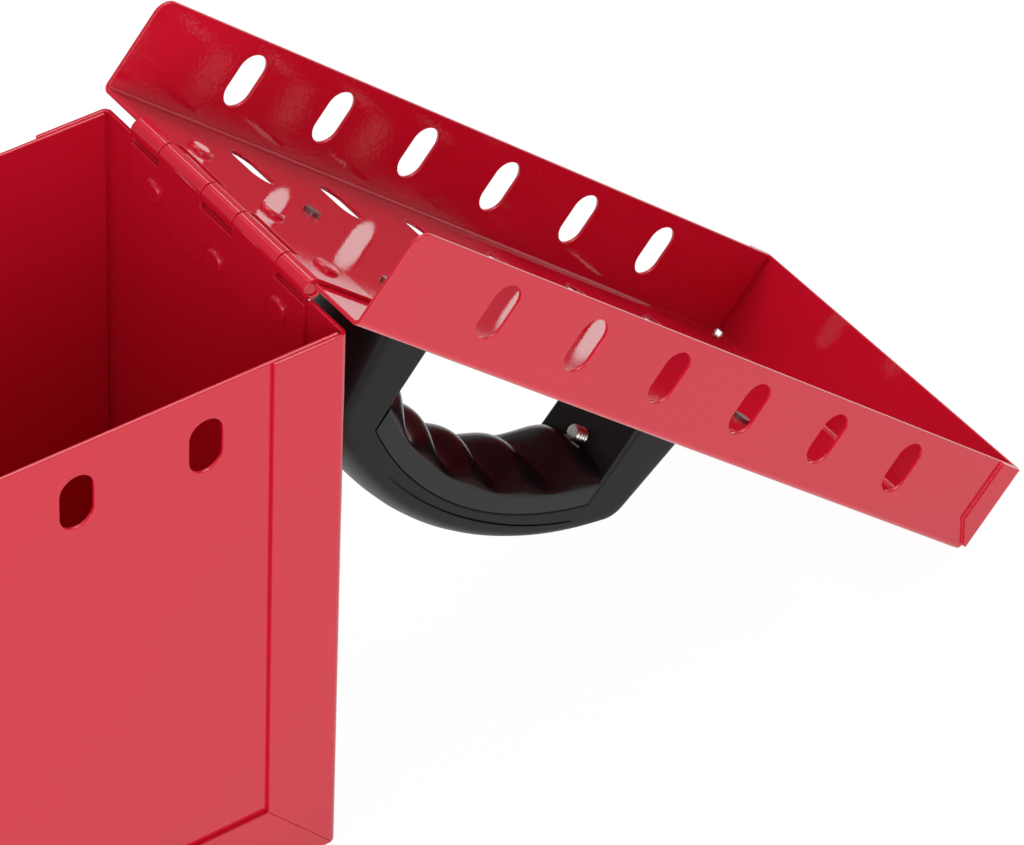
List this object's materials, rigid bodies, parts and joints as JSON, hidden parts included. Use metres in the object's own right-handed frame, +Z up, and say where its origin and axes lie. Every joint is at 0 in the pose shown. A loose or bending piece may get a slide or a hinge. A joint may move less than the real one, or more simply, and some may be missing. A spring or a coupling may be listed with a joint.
{
  "type": "group lockout box",
  "caption": "Folded-sheet steel box with rows of padlock slots, an end-hinged lid shown open, and a carrying handle on the lid.",
  "frame": {"origin": "centre of the case's flat base, on the surface it stands on", "axes": "+X towards the hinge end, along the slots; +Z up; the front wall faces -Y"},
  "size_m": [0.4292, 0.0988, 0.1701],
  "materials": {
    "red_powder_coat": "smooth glossy red powder coat",
    "hinge_pin": "steel pin, coated over at its ends",
    "handle_plastic": "satin moulded black plastic",
    "grip_rubber": "smooth black rubber",
    "zinc_screw": "bright zinc plate"
  },
  "bodies": {
    "case": {"case_wrap": "red_powder_coat", "front_wall": "red_powder_coat", "back_wall": "red_powder_coat", "case_hinge_leaf": "red_powder_coat", "hinge_pin": "hinge_pin", "case_rivet_1": "red_powder_coat", "case_rivet_2": "red_powder_coat", "case_rivet_3": "red_powder_coat"},
    "lid": {"lid_shell": "red_powder_coat", "lid_hinge_leaf": "red_powder_coat", "lid_rivet_1": "red_powder_coat", "lid_rivet_2": "red_powder_coat", "lid_rivet_3": "red_powder_coat", "handle_bow": "handle_plastic", "handle_grip": "grip_rubber", "handle_screw_1": "zinc_screw", "handle_screw_2": "zinc_screw", "handle_screw_3": "zinc_screw", "handle_screw_4": "zinc_screw", "grip_screw_1": "zinc_screw", "grip_screw_2": "zinc_screw"}
  },
  "joints": [
    {"name": "lid_hinge", "type": "hinge", "parent": "case", "child": "lid", "pos_m": [0.1171, 0, 0.1519], "axis": [0, -1, 0], "range_deg": [0, 220.44]}
  ]
}
